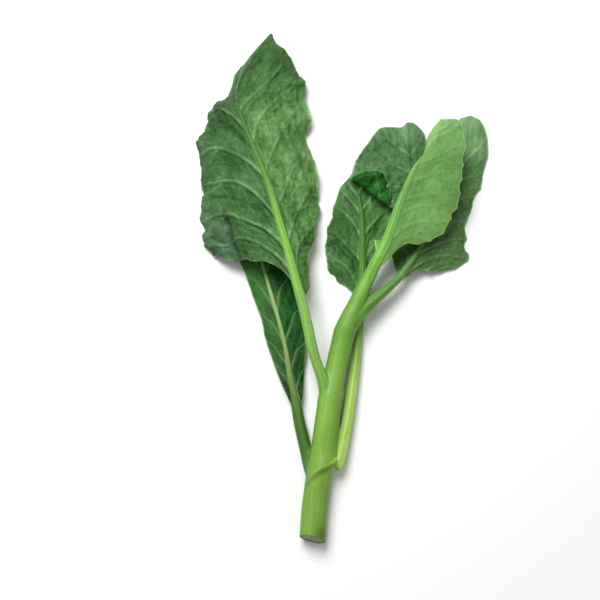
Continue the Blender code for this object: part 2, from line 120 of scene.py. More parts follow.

# where the halves' greens differ, as in leaf_1, leaf_3 and leaf_4, that is painted light and shade
# Each leaf. Shares run from 0 to 1, along from the blade's foot to its tip and across from the
# rib to the margin, below zero in the left half. A pair is for the left half and the right one.
#   stalk, rib: x, y, z and radius, from the foot on the stem to the blade, and on to the tip
#   left, right: the margins' x, y, z, one point beside each of the rib's but the tip
#   sweep: how far the middle of a half bends to the tip, as a share of its width
#   belly: how far the middle of a half is lifted
#   base: how far a half's lower edge curves in, and how far it runs down the stalk
#   waves, crinkle: how many waves a margin has, and how strong the wrinkles are
#   veins, veined: where along each side vein starts and ends, and how strong it is
#   rib_end, pale_end: where the rib fades into the blade, and where it loses its pale colour
#   greens: the underside left and right of the rib, and at the tip
#   skins: the stalk and the rib, from foot to tip
# Only some leaves have these:
#   corners: more points of a margin, between its last one and the tip
#   face_up, face_shade: the upper face shows, and its painted shade: how light it is at the foot and the
#       tip
#   proud: how far the blade lies off the rib's centre line, in shares of the rib's radius, at
#     the foot and from a quarter of the way up
#   fillet: how far the blade climbs the rib, as a share of its radius, and over how many mm
#   mottled: how much the blotches of wax and the painted shade show
#   patches: spots of painted shade, by place along and across, size and loss of light
#   crease: in the left half, by place across, height and where along it ends
#   folds: in the right half, by place along, reach, place across, spacing and depth
#   fold: the two ends of the line over which the upper left is rolled, and the roll's radius
#   teeth: on the right margin, by depth, number and where along they end
LEAVES = {
    "leaf_1": dict(
        stalk=[(9.4, 59, 8.4, 6), (8, 69.5, 10.2, 4.7), (5.7, 78.5, 13.7, 3.6), (2.2, 87, 16.7, 3),
               (-1, 98, 19.5, 3.1), (-4, 112, 22, 3), (-7, 124, 24, 3)],
        rib=[(-9, 131, 25, 2.9), (-14, 150, 26.5, 2.6), (-20, 171, 27.5, 2.3), (-26.5, 194, 27.5, 2),
             (-35, 217, 26, 1.6), (-43, 238, 23, 1.2), (-47, 254, 19.5, 0.8), (-41, 276, 13, 0.5),
             (-26, 303.5, 4, 0.4)],
        left=[(-63, 158, 4), (-69, 171, 1.5), (-70, 189, 0.5), (-71, 208, 0.5), (-73, 228, 1),
              (-67, 245, 4), (-55, 259, 8), (-46, 279, 6)],
        right=[(-3, 134, 18.5), (-1, 157, 13), (3, 177, 8), (4, 199, 5), (0, 224, 4), (-3, 245, 5),
               (-5, 266, 6), (-10, 280.5, 5.4)],
        corners=((), ((-17, 291, 4.6), (-23.8, 297.5, 4.2))),
        sweep=(0.12, 0), belly=(2.5, 2), waves=5, crease=(0.6, 4, 0.3), rib_end=0.8, pale_end=0.7,
        base=((9.5, 0), (0, 5)), crinkle=1.4, veined=(1.1, 0.45), fillet=(0.45, 2.4),
        folds=(0.52, 0.16, 0.45, 5.5, 0.3),
        patches=((0.65, -0.65, 0.12, 0.45), (0.79, 0.45, 0.1, 0.16), (0.36, -0.85, 0.05, 0.25),
                 (0.27, -0.5, 0.05, 0.25)),
        veins=[((0.1, 0.06), (0.19, 0.19), (0.32, 0.35), (0.46, 0.46), (0.64, 0.65), (0.8, 0.95)),
               ((0.1, 0.25), (0.21, 0.4), (0.34, 0.52), (0.46, 0.7), (0.58, 0.84), (0.72, 0.95))],
        greens=("#48723f", "#669452", "#406a36"),
        skins=("#7fae4a", "#7fae4f", "#81b84d", "#4c7c2f", "#3c652f"),
    ),
    "leaf_2": dict(
        stalk=[(28.5, 131, 14, 3.6), (33, 140, 15.3, 3.8), (37.5, 149, 18, 3.5)],
        rib=[(43, 159, 21.5, 3.3), (47, 169, 25.5, 3), (51, 181, 30, 2.5), (55.5, 192, 33.5, 1.9),
             (60.5, 203, 36, 1.5), (65.7, 213, 37, 1.1), (68.5, 223.5, 36.5, 0.8), (77, 234.6, 32.5, 0.5)],
        left=[(37, 165, 16), (59, 170, 12.5), (67, 182, 13), (73.5, 194, 14.5), (77, 207, 16.5),
              (81, 219, 18.5), (86, 230, 21.5)],
        right=[(63.5, 161, 17), (74, 165, 17), (83, 176, 18), (88, 188, 19), (89.5, 201, 20.5),
               (91.7, 215, 22), (91.7, 229.6, 25)],
        corners=((), ((90.6, 233, 26.5), (86.8, 236, 28.5))),
        sweep=(0, 0.05), belly=(-2, 2), waves=4, rib_end=0.66, pale_end=0.42, proud=(0.3, 0.1),
        base=((2, 12), (0, 15)), crinkle=0.5, veined=(0.22, 0.22), fillet=(0.65, 2.8), mottled=0.45,
        teeth=(0.045, 9, 0.85),
        veins=[((0.15, 0.2), (0.35, 0.4), (0.55, 0.6), (0.75, 0.85)),
               ((0.04, 0.1), (0.15, 0.27), (0.28, 0.36), (0.37, 0.46), (0.5, 0.62), (0.64, 0.78),
                (0.78, 0.92))],
        greens=("#7fb160", "#7fb160", "#8ec171"),
        skins=("#83b750", "#8ac357", "#7cb555", "#73a559", "#7cb060"),
    ),
    "leaf_3": dict(
        stalk=[(12.2, 27.8, 7.2, 3.8), (14.4, 32, 6.8, 3.9), (16.9, 41.5, 6, 3.7), (20.2, 57, 5, 3.5),
               (22.9, 75, 4.3, 3.3), (25.5, 94, 3.8, 3), (27.6, 113, 3.6, 2.7), (28.8, 123, 3.7, 2.6)],
        rib=[(29.5, 131, 3.9, 2.5), (30, 143, 4.6, 2.3), (30, 155, 5.4, 2.1), (30, 166, 6, 1.9),
             (30, 178, 6.2, 1.7), (29, 189, 6, 1.4), (27, 199, 4.8, 1), (23, 208, 3, 0.5)],
        left=[(12, 142, 1.2), (8.5, 152, 0.7), (7.5, 163, 0.6), (9, 174, 0.6), (11, 184, 0.8),
              (14, 193, 1), (17.5, 202, 1.2)],
        right=[(34.5, 141, 1), (40, 153, 0.8), (46.5, 164, 0.6), (51, 175, 0.6), (52.5, 185.5, 0.8),
               (49.5, 195, 1), (41, 204, 1.2)],
        sweep=(0.1, 0.1), belly=(1.5, 0.5), waves=4, rib_end=0.9, pale_end=0.8,
        base=((1, 3), (4, 0)), crinkle=1.4, veined=(0.85, 0.7),
        veins=[((0.08, 0.24), (0.28, 0.42), (0.5, 0.66), (0.68, 0.82), (0.84, 0.95)),
               ((0.08, 0.2), (0.28, 0.42), (0.5, 0.64), (0.7, 0.82), (0.85, 0.95))],
        greens=("#437138", "#608f4e", "#4b7c42"),
        # The stalk's light foot colours are light green with a painted highlight in them
        skins=("#a8cf67", "#a5cb65", "#79a44f", "#568239", "#446f35"),
    ),
    "leaf_4": dict(
        stalk=[(19, 107, 11.5, 5), (25.5, 117, 12, 4.7), (30, 122, 12, 4), (42.5, 133, 11.2, 3.1)],
        rib=[(52, 142, 10.2, 2.5), (60.5, 154, 9.2, 1.8), (66, 164, 8.8, 1.5), (72, 175, 8.4, 1.3),
             (78, 188, 8, 1.1), (85.5, 202, 7.4, 0.9), (91.5, 216, 6.4, 0.9), (95.5, 230, 5, 0.7),
             (98.8, 248.6, 2.6, 0.5)],
        left=[(48.5, 150, 6), (47.5, 160.5, 4.8), (51, 171, 4.2), (57, 183, 3.8), (63.5, 195.5, 3.4),
              (70.5, 209, 3), (78, 222.5, 2.4), (86.5, 240, 2)],
        right=[(79, 148, 1.5), (94, 154, 0.5), (94, 165, 0.5), (94, 175, 0.5), (98, 190, 0.5),
               (103.5, 202.5, 0.5), (108.5, 218, 0.6), (109, 234, 1)],
        corners=(((90.5, 245.6, 2.3),), ((105.5, 244.5, 1.6),)),
        sweep=(0, 0.1), belly=(0.5, 2), waves=5, rib_end=0.8, pale_end=0.3,
        base=((3, 0), (4, 5)), crinkle=0.9, veined=(0.55, 0.55), mottled=0.7,
        veins=[((0.1, 0.22), (0.25, 0.37), (0.4, 0.52), (0.55, 0.67), (0.7, 0.82), (0.84, 0.95)),
               ((0.07, 0.16), (0.2, 0.28), (0.34, 0.42), (0.48, 0.56), (0.62, 0.7), (0.77, 0.87))],
        greens=("#446c36", "#547e46", "#76a069"), skins=("#5f943b", "#5f8d46", "#4d7c42", "#547c4a"),
    ),
    "leaf_5": dict(
        stalk=[(28, 130, 12.5, 2.6), (29.5, 134.5, 10.4, 2.4), (31.5, 139, 9.1, 2.2),
               (36, 147, 8.8, 2.1), (43, 158, 9, 2.1), (49, 169, 9.3, 2), (53, 178, 9.7, 1.9)],
        rib=[(56, 185, 10.2, 1.8), (58.5, 192, 11, 1.6), (60, 199, 11.6, 1.4), (61, 207, 11.8, 1.2),
             (61, 216, 11.5, 1), (60.5, 227, 10.6, 0.8), (59, 242, 8.4, 0.5)],
        left=[(29, 180.5, 8.8), (22.5, 187, 9), (19.5, 197, 9), (24.5, 211, 9), (29, 221.5, 8.8),
              (37, 233.5, 8.4)],
        right=[(63, 184, 8.6), (68, 191, 8.8), (71, 199, 8.8), (73, 208, 8.8), (73, 217.5, 8.6),
               (70.5, 229, 8.2)],
        corners=(((42, 238, 8.4), (49, 238.8, 8.4), (55, 238.6, 8.4)),
                 ((68.5, 235.5, 8.2), (63.5, 241, 8.2))),
        sweep=(0, 0.1), belly=(0.3, 0.3), waves=2, rib_end=0.5, pale_end=0.1,
        base=((2, 0), (2, 0)), crinkle=1.7, veined=(0.4, 0.4),
        fold=((26.3, 205.4), (49.3, 186.1), 1.9),
        veins=[((0.12, 0.2), (0.34, 0.46), (0.56, 0.7), (0.76, 0.88)),
               ((0.12, 0.22), (0.34, 0.46), (0.56, 0.7), (0.78, 0.88))],
        greens=("#5e8757", "#5e8757", "#648d5e"), skins=("#5a8a45", "#5a8a45", "#45703f"),
    ),
    "leaf_6": dict(
        stalk=[(2.5, 13, 5.6, 4), (-2, 28, 4.7, 3.7), (-5.5, 43, 4.3, 3.5), (-8.5, 56, 4.1, 3.3)],
        rib=[(-10, 65, 4, 3.1), (-14, 83, 3.6, 2.5), (-17, 100.5, 3.2, 2.1), (-21.5, 119, 3, 1.8),
             (-28, 142, 2.7, 1.5), (-32.5, 158, 2.4, 1.2), (-37, 175.5, 2.1, 0.9),
             (-41, 192, 1.8, 0.7), (-44.5, 208, 1.3, 0.4)],
        left=[(-13.5, 65.5, 6.2), (-23, 88.5, 3.5), (-28, 104, 2.5), (-32, 119.5, 2), (-39, 140, 1.5),
              (-46, 157, 1.2), (-51.5, 174.5, 1), (-53.5, 190.5, 1.2)],
        right=[(-7, 68, 6.5), (-5.5, 85, 4.5), (-4.5, 103, 3.5), (-5.5, 122.5, 2.5), (-9, 144.5, 2),
               (-14.5, 160.5, 1.5), (-21, 177.5, 1.2), (-30, 196, 1.2)],
        sweep=(0.1, 0.1), belly=(0.5, 0.5), waves=4, rib_end=0.9, pale_end=1, face_up=True,
        face_shade=(0.27, 1.4), proud=(0.8, 0.95),
        base=((0, 0), (0, 0)), crinkle=0.9, veined=(0.45, 0.45),
        veins=[((0.06, 0.14), (0.17, 0.26), (0.3, 0.4), (0.43, 0.54), (0.56, 0.68), (0.7, 0.82),
                (0.84, 0.93)),
               ((0.05, 0.13), (0.16, 0.26), (0.29, 0.4), (0.42, 0.54), (0.56, 0.68), (0.7, 0.82),
                (0.84, 0.93))],
        greens=("#45703f", "#45703f", "#45703f"),
        # The stalk's two dark foot colours are painted shade
        skins=("#2a5608", "#38690c", "#7d9950", "#9db46c", "#a3b877"),
    ),
}
STEM_SKINS = ("#739c3e", "#7aa641", "#6b9d38")


# Numbers and lines


def unit(vectors):
    return vectors / np.linalg.norm(vectors, axis=-1, keepdims=True)


def right_and_up(forward):
    right = unit(np.cross(forward, (0, 0, 1)))
    return right, np.cross(right, forward)


def smooth_line(stations, along):
    """Points on the smooth curve through the stations, at shares 0 to 1 of the way along them."""
    stations = np.asarray(stations, float)
    spans = len(stations) - 1
    place = np.clip(along, 0, 1) * spans
    first = np.minimum(place.astype(int), spans - 1)
    f = (place - first)[:, None]
    before = 2 * stations[0] - stations[1]
    after = 2 * stations[-1] - stations[-2]
    ends = np.vstack([before, stations, after])
    a, b, c, d = (ends[first + step] for step in range(4))
    square = (2 * a - 5 * b + 4 * c - d) * f**2
    cube = (3 * b - a - 3 * c + d) * f**3
    return (2 * b + (c - a) * f + square + cube) / 2


def passed_along(line):
    """How far along the line each of its points lies."""
    steps = np.linalg.norm(np.diff(line[:, :3], axis=0), axis=1)
    return np.concatenate([[0], np.cumsum(steps)])


def squared_gaps(points, line):
    """The squared distance of each point from each point of the line."""
    return (points**2).sum(1)[:, None] - 2 * points @ line.T + (line**2).sum(1)[None]


def bump(distance, height, width):
    """The given height at distance 0, falling off to both sides over about the width."""
    return height * np.exp(-((distance / width) ** 2))


def ease(value, low, high):
    """0 below low, 1 above high, and smooth between them."""
    share = np.clip((value - low) / (high - low), 0, 1)
    return share * share * (3 - 2 * share)


def random_table(seed):
    return np.random.default_rng(seed).random((64, 64, 2))


def soft_noise(places, size, seed):
    """Smooth noise from -1 to 1, with lumps of about the given size."""
    cells = places / size
    low = np.floor(cells).astype(int)
    x, y = ((cells - low) ** 2 * (3 - 2 * (cells - low))).T
    table = random_table(seed)[:, :, 0]
    corners = [table[(low[:, 0] + i) % 64, (low[:, 1] + j) % 64] for i in (0, 1) for j in (0, 1)]
    near = corners[0] * (1 - y) + corners[1] * y
    far = corners[2] * (1 - y) + corners[3] * y
    return 2 * (near * (1 - x) + far * x) - 1


def net_distance(places, size, seed):
    """How far each place is from the net of lines between cells of about the given size."""
    cells = places / size
    low = np.floor(cells).astype(int)
    table = random_table(seed)
    nearest = np.full((2, len(places)), np.inf)
    for i in (-1, 0, 1):
        for j in (-1, 0, 1):
            cell = low + (i, j)
            point = cell + table[cell[:, 0] % 64, cell[:, 1] % 64]
            distance = np.linalg.norm(cells - point, axis=1)
            nearest = np.sort(np.vstack([nearest, distance]), axis=0)[:2]
    return (nearest[1] - nearest[0]) * size


def linear(hex_colour):
    """An sRGB hex colour as linear red, green, blue and 1."""
    parts = np.array([int(hex_colour[i : i + 2], 16) for i in (1, 3, 5)]) / 255
    low, high = parts / 12.92, ((parts + 0.055) / 1.055) ** 2.4
    return (*np.where(parts <= 0.04045, low, high), 1.0)


def blend_colours(hex_colours, along):
    """Linear colours at shares 0 to 1 of the way through the list."""
    colours = np.array([linear(colour) for colour in hex_colours])
    steps = np.linspace(0, 1, len(colours))
    return np.stack([np.interp(along, steps, part) for part in colours.T], axis=1)


# Meshes


def deselect_all():
    bpy.ops.object.select_all(action="DESELECT")


def read_vectors(mesh, field):
    """The place ("co") or the "normal" of every vertex, as Blender keeps them."""
    values = np.empty(len(mesh.vertices) * 3, np.float32)
    mesh.vertices.foreach_get(field, values)
    return values.reshape(-1, 3).astype(float)


def write_points(mesh, points):
    mesh.vertices.foreach_set("co", (points * MM).ravel())
    mesh.update()


def write_attribute(mesh, name, values):
    """Keeps one number, vector or colour for each vertex, which the materials read by name."""
    kinds = {1: ("FLOAT", "value"), 3: ("FLOAT_VECTOR", "vector"), 4: ("FLOAT_COLOR", "color")}
    values = np.asarray(values, np.float32)
    kind, field = kinds[1 if values.ndim == 1 else values.shape[1]]
    layer = mesh.attributes.new(name, kind, "POINT")
    layer.data.foreach_set(field, values.ravel())


def apply_modifiers(piece):
    bpy.context.view_layer.objects.active = piece
    for modifier in list(piece.modifiers):
        bpy.ops.object.modifier_apply(modifier=modifier.name)


def tube(points, sides):
    """A closed tube along points of x, y, z and radius."""
    curve = bpy.data.curves.new("tube", "CURVE")
    curve.dimensions = "3D"
    curve.bevel_depth = MM
    curve.bevel_resolution = (sides - 4) // 2
    curve.use_fill_caps = True
    spline = curve.splines.new("POLY")
    spline.points.add(len(points) - 1)
    for point, (x, y, z, radius) in zip(spline.points, points):
        point.co = (x * MM, y * MM, z * MM, 1)
        point.radius = radius
    drawn = bpy.data.objects.new("tube", curve)
    bpy.context.scene.collection.objects.link(drawn)
    drawn.select_set(True)
    bpy.context.view_layer.objects.active = drawn
    bpy.ops.object.convert(target="MESH")
    return bpy.context.object


# The stalk


def evenly(stations):
    """The smooth line through the stations as rings at an even spacing."""
    fine = smooth_line(stations, np.linspace(0, 1, 600))
    passed = passed_along(fine)
    places = np.linspace(0, passed[-1], int(passed[-1] / RING_SPACING))
    return np.stack([np.interp(places, passed, column) for column in fine.T], axis=1)


def rib_line(leaf):
    """The stalk and the rib up to where it fades, sunk where it would be too thin to fuse."""
    along = np.linspace(0, leaf["rib_end"], 80)
    rib = smooth_line(leaf["rib"], along)
    sheet = rib_frame(leaf, along)[0]
    sink = ease(along, leaf["rib_end"] - RIB_SINKS, leaf["rib_end"])[:, None]
    rib[:, :3] = rib[:, :3] * (1 - sink) + sheet * sink
    thicker = np.maximum(rib[:, 3], THINNEST_RIB) * (1 - 0.7 * sink[:, 0])
    rib[:, 2] -= np.maximum(thicker - rib[:, 3], 0)
    rib[:, 3] = thicker
    stalk = smooth_line(leaf["stalk"] + leaf["rib"][:1], np.linspace(0, 1, 80))
    return evenly(np.vstack([stalk[:-1:3], rib[::3]]))


def stalk_lines():
    """Every centre line of the fused stalk, with its skin colours: the stem first."""
    stem = evenly(STEM)
    longer = stem[0] - 2 * np.append(unit(stem[1, :3] - stem[0, :3]), 0)
    lines = [(np.vstack([longer, stem]), STEM_SKINS)]
    return lines + [(rib_line(leaf), leaf["skins"]) for leaf in LEAVES.values()]


def nearest_on_lines(points, lines):
    """For each point: its nearest line, how far along that in mm, where round it, and its tint.

    The tints of lines that meet run into each other over a few millimetres.
    """
    count = len(points)
    best, weights = np.full(count, np.inf), np.zeros(count)
    found = dict(line=np.zeros(count, int), along=np.zeros(count))
    found["round"], found["tint"] = np.zeros((count, 2)), np.zeros((count, 4))
    for number, (line, skins) in enumerate(lines):
        centres = line[:, :3]
        forward = unit(np.gradient(centres, axis=0))
        right, up = right_and_up(forward)
        passed = passed_along(line)
        gaps = np.sqrt(np.maximum(squared_gaps(points, centres), 0)) - line[None, :, 3]
        k = gaps.argmin(axis=1)
        gap = gaps[np.arange(count), k]
        weight = np.exp(-np.clip(gap, -4, 20) / TINT_REACH)
        weights += weight
        found["tint"] += weight[:, None] * blend_colours(skins, passed[k] / passed[-1])
        closer = gap < best
        k = k[closer]
        off = points[closer] - centres[k]
        best[closer] = gap[closer]
        found["line"][closer] = number
        found["along"][closer] = passed[k] + (off * forward[k]).sum(1)
        found["round"][closer] = np.stack([(off * right[k]).sum(1), (off * up[k]).sum(1)], axis=1)
    found["tint"] /= weights[:, None]
    return found


def node_relief(points, found):
    """How far the skin stands out and its painted light and shade: swollen nodes, the scar, flutes, a
    highlight band.
    """
    on_stem = found["line"] == 0
    out = unit(found["round"] + 1e-9)
    angle = np.arctan2(out[:, 1], out[:, 0])
    swell = sum(bump(points[:, 1] - y, height, SWELLING_LENGTH) for y, height in SWELLINGS)
    above = points[:, 1] - np.interp(out[:, 0], *SCAR)
    on_top = ease(out[:, 1], -0.5, 0.3) * (0.25 + 0.75 * ease(out[:, 0], -1, -0.1))
    scar = on_top * bump(above, SCAR_HEIGHT, np.where(above > 0, SCAR_ABOVE, SCAR_BELOW))
    places = np.stack([found["along"] / 6, angle * 4], axis=1)
    lumps = soft_noise(places, *STALK_LUMPS) * LUMP_HEIGHT
    flutes = np.cos(angle * FLUTES + found["line"]) * np.where(on_stem, STEM_FLUTE, STALK_FLUTE)
    relief = np.where(on_stem, swell + scar, 0) + flutes + lumps
    # Painted light: a highlight above the scar's ridge, a painted shadow below it, painted shading along
    # the flutes, and a stain beside the cut
    lit, shaded = (bump(above - at, *by) for at, *by in (SCAR_LIGHT, SCAR_SHADOW))
    stain = ease(out[:, 0], -0.3, 0.6) * ease(-points[:, 1], 4, 11) * -STAIN
    light = 0.5 * flutes + np.where(on_stem, on_top * (lit - shaded) + stain, 0)
    # A painted highlight band left of the middle and painted shade on both sides, half as strong on the
    # leaf stalks
    highlight_band = bump(out[:, 0] + 0.25, 1, 0.4)[:, None] * HIGHLIGHT_BAND
    sides = ease(np.abs(out[:, 0]), 0.45, 1)[:, None] * SHADED_SIDES
    return relief, 1 + light[:, None] + np.where(on_stem[:, None], 1, 0.5) * (highlight_band + sides)


def fuse(pieces, voxel, smoothing):
    """Joins the pieces into one closed skin that is soft where they meet."""
    deselect_all()
    for piece in pieces:
        piece.select_set(True)
    bpy.context.view_layer.objects.active = pieces[0]
    bpy.ops.object.join()
    fused = bpy.context.object
    remesh = fused.modifiers.new("Fuse", "REMESH")
    remesh.mode = "VOXEL"
    remesh.voxel_size = voxel * MM
    smooth = fused.modifiers.new("Soften", "SMOOTH")
    smooth.factor = 0.5
    smooth.iterations = smoothing
    apply_modifiers(fused)
    return fused


def cut_end(stalk, flesh_slot):
    """Cuts the stem's end off at a slant, and draws the flesh in as rings, slightly hollow."""
    deselect_all()
    stalk.select_set(True)
    bpy.context.view_layer.objects.active = stalk
    bpy.ops.object.mode_set(mode="EDIT")
    bpy.ops.mesh.select_all(action="SELECT")
    point, facing = Vector(CUT_THROUGH) * MM, Vector(CUT_FACES).normalized()
    bpy.ops.mesh.bisect(plane_co=point, plane_no=CUT_FACES, use_fill=True, clear_outer=True)
    bpy.ops.mesh.remove_doubles(threshold=CUT_MERGE * MM)
    for scale, deeper in CUT_RINGS:
        bpy.ops.mesh.extrude_region_move()
        bpy.ops.transform.resize(value=(scale, scale, scale), center_override=point)
        bpy.ops.transform.translate(value=-facing * deeper * MM)
    bpy.ops.object.mode_set(mode="OBJECT")
    for face in stalk.data.polygons:
        if abs(face.normal.dot(facing)) > 0.6 and face.center.y < FLESH_BELOW * MM:
            face.material_index = flesh_slot


def make_stalk():
    lines = stalk_lines()
    deselect_all()
    tubes = [tube(line, STALK_SIDES) for line, _ in lines]
    tubes.append(tube(evenly(SCAR_CORNER), STALK_SIDES))
    stalk = fuse(tubes, STALK_VOXEL, STALK_SOFTENING)
    stalk.name = stalk.data.name = "stalk"
    points = read_vectors(stalk.data, "co") / MM
    found = nearest_on_lines(points, lines)
    relief, shade = node_relief(points, found)
    # The tint takes on the painted light and shade, and the stain
    found["tint"][:, :3] *= shade
    points += read_vectors(stalk.data, "normal") * relief[:, None]
    points[:, 2] = np.maximum(points[:, 2], 0)
    write_points(stalk.data, points)
    straight = np.column_stack([found["along"], found["round"]])
    straight[:, 2] += found["line"] * PATTERN_STEP
    write_attribute(stalk.data, "place", straight)
    write_attribute(stalk.data, "tint", found["tint"])
    stalk.data.materials.append(stalk_skin())
    stalk.data.materials.append(cut_flesh())
    cut_end(stalk, 1)
    stalk.data.shade_smooth()
    return stalk


# The blades


def rib_side(leaf):
    """-1 where the rib stands on top of the blade, and 1 where it is below."""
    return 1 if leaf.get("face_up") else -1


def rib_frame(leaf, along):
    """Where the blade meets the rib, and the directions forward, right and up there."""
    step = 1e-3
    line = smooth_line(leaf["rib"], along)
    ahead = smooth_line(leaf["rib"], along + step)[:, :3]
    behind = smooth_line(leaf["rib"], along - step)[:, :3]
    forward = unit(ahead - behind)
    right, up = right_and_up(forward)
    proud = leaf.get("proud", (0.6, 0.6))
    offset = line[:, 3:] * np.interp(along, (0, 0.25), proud)[:, None]
    return line[:, :3] + rib_side(leaf) * offset * up, forward, right, up


def margin(leaf, side, along):
    """Points of one margin, which closes in on the tip."""
    tip, _, right, _ = rib_frame(leaf, np.array([1.0]))
    tip = tip + side * TIP_WIDTH * right
    tip[:, 2] = np.maximum(tip[:, 2], LOWEST_BLADE)
    pick = 1 if side > 0 else 0
    stations = leaf["right" if side > 0 else "left"]
    extra = leaf.get("corners", ((), ()))[pick]
    count = len(stations)
    shares = np.append(np.arange(count - 1), np.linspace(count - 1, count, len(extra) + 2)) / count
    line = np.vstack([stations, *extra, tip])
    return smooth_line(line, np.interp(along, shares, np.linspace(0, 1, len(line))))


def edge_share(leaf, side, along):
    """How far out the margin wanders: broad waves, small nicks, and teeth where the leaf has them."""
    turns = 2 * np.pi * along
    edge = EDGE_WAVE * np.sin(turns * leaf["waves"] * EDGE_WAVES + side)
    places = np.column_stack([along * 150, np.full_like(along, side * 20.0)])
    edge += NICK * soft_noise(places, *NICKS)
    if "teeth" in leaf and side > 0:
        depth, count, until = leaf["teeth"]
        tooth = 1 - np.abs(np.sin(np.pi * count * along / until))
        edge += depth * (tooth - 0.5) * (1 - ease(along, until - 0.1, until))
    return edge


def blade_half(leaf, side, along, across):
    """Points of one half of the blade, at shares along the rib and across from rib to margin."""
    pick = 1 if side > 0 else 0
    root, forward, _, up = rib_frame(leaf, along)
    chord = margin(leaf, side, along) - root
    width = np.linalg.norm(chord, axis=1)
    full = np.minimum(width / FULL_WIDTH, 1)
    bow = 4 * across * (1 - across)
    edge = 1 + edge_share(leaf, side, along) * across**4
    points = root + chord * (across * edge)[:, None]
    sweep = leaf["sweep"][pick] * ease(along, -0.04, 0.14)
    points += forward * (width * sweep * bow)[:, None]
    points += forward * base_edge(leaf["base"][pick], along, across, width)[:, None]
    points += up * (full * leaf["belly"][pick] * bow)[:, None]
    wave = WAVE_HEIGHT * np.sin(2 * np.pi * along * leaf["waves"] + side)
    points[:, 2] += full * np.clip((1 - along) * 6, 0, 1) * wave * across**WAVE_POWER
    if "crease" in leaf and side < 0:
        points[:, 2] += crease_lift(leaf["crease"], along, across)
    return points


def base_edge(base, along, across, width):
    """How far the blade's lower edge curves in, or runs down beside the stalk."""
    hollow, down = base
    hollow = hollow * HOLLOW_PEAK * across * (1 - across) ** 3 * (1 - along) ** 8
    ripple = soft_noise(np.column_stack([across * width, across * 0]), *BASE_NICKS)
    ripple *= BASE_RIPPLE * ease(across, 0.15, 0.4)
    return hollow + (ripple - bump(across * width, down, RUN_DOWN_WIDTH)) * (1 - along) ** 10


def crease_lift(crease, along, across):
    """How far the half rises to its crease near the leaf's base, and then falls steeply."""
    at, height, until = crease
    rise = ease(across, at - 0.4, at) * (1 - ease(across, at, at + CREASE_WIDTH))
    return height * rise * np.clip((until - along) / CREASE_FADE, 0, 1)


def blade_sheet(leaf, along, across):
    """The blade's middle surface before its veins, wrinkles and fold."""
    left = blade_half(leaf, -1, along, -across)
    right = blade_half(leaf, 1, along, across)
    return np.where((across < 0)[:, None], left, right)


def roll_over(points, start, end, radius):
    """Rolls what lies left of the line from start to end up and over, round the given radius."""
    direction = unit(np.subtract(end, start))
    outward = np.array([direction[1], -direction[0]])
    beyond = (points[:, :2] - start) @ outward
    turn = np.clip(beyond / radius, 0, np.pi)
    flat = np.maximum(beyond - np.pi * radius, 0)
    rolled = np.where(beyond > 0, radius * np.sin(turn) - flat, beyond)
    points[:, :2] += (rolled - beyond)[:, None] * outward
    points[:, 2] += radius * (1 - np.cos(turn))
    return points


def vein_lines(leaf):
    """Each side vein and its forks: shares along and across, and how strong it is."""
    out = np.linspace(0, 1, 100)
    chance = np.random.default_rng(VEIN_SEED)
    lines = []
    for side, veins in zip((-1, 1), leaf["veins"]):
        for start, end in veins:
            wander = VEIN_WANDER * np.sin(out * chance.uniform(5, 10) + chance.uniform(0, 6))
            hook = VEIN_HOOK * (1 - out) ** 6
            along = start + (end - start) * out**1.3 - hook + wander
            lines.append((along, side * VEIN_REACH * out, 1 - 0.6 * out))
            for turn in (-1, 1):
                fork = chance.uniform(0.35, 0.65)
                later = out > fork
                away = np.maximum((out - fork) / (1 - fork), 0) ** 1.2
                away *= turn * chance.uniform(0.05, 0.1)
                branch = along + away, side * VEIN_REACH * out, 0.4 - 0.3 * out
                lines.append([values[later] for values in branch])
    return lines


def vein_distance(leaf, points, along):
    """How far each point is from its nearest vein, and how strong that vein is there.

    The distance is below zero on the vein's lower side.
    """
    nearest, strength = np.full(len(points), np.inf), np.zeros(len(points))
    for line_along, line_across, strong in vein_lines(leaf):
        line_along = np.clip(line_along, 0, VEIN_TOP)
        gaps = squared_gaps(points, blade_sheet(leaf, line_along, line_across))
        k = gaps.argmin(axis=1)
        gap = np.sqrt(np.maximum(gaps[np.arange(len(points)), k], 0)) + WEAK_VEIN * (1 - strong[k])
        closer = gap < np.abs(nearest)
        strength = np.where(closer, strong[k], strength)
        nearest = np.where(closer, np.where(along < line_along[k], -gap, gap), nearest)
    return nearest - np.sign(nearest) * WEAK_VEIN * (1 - strength), strength


def how_veined(leaf, across):
    left, right = leaf["veined"]
    return np.where(across < 0, left, right)


def sheet_normals(points, shape):
    grid = points.reshape(*shape, 3)
    normals = np.cross(np.gradient(grid, axis=1), np.gradient(grid, axis=0))
    return unit(normals.reshape(-1, 3))


def measure_blade(leaf, along, across, points):
    """Each point's place on the blade in mm, and how far it is from veins, rib and margin."""
    length = passed_along(smooth_line(leaf["rib"], np.linspace(0, 1, 400)))[-1]
    left, right = margin(leaf, -1, along), margin(leaf, 1, along)
    root = rib_frame(leaf, along)[0]
    width = np.linalg.norm(np.where((across < 0)[:, None], left, right) - root, axis=1)
    nearest, strength = vein_distance(leaf, points, along)
    radius = smooth_line(leaf["rib"], along)[:, 3]
    out = np.abs(across) * width
    base = np.where(out > radius + 2, along * length, np.inf)
    fading = 6 * ease(along, leaf["pale_end"] - 0.15, leaf["pale_end"])
    further = RIB_SHOWS_ABOVE if leaf.get("face_up") else RIB_SHOWS
    shown = np.interp(along, (0, 0.25), (RIB_SHOWS, further))
    beside = np.maximum(out - radius * shown, 0)
    return dict(
        place=np.column_stack([along * length, across * width]),
        width=width,
        vein=nearest,
        strength=strength * how_veined(leaf, across),
        beside=beside,
        rib=beside + fading,
        edge=np.minimum((1 - np.abs(across)) * width, base) + np.maximum(NARROW - width, 0) * 0.6,
        radius=radius,
    )


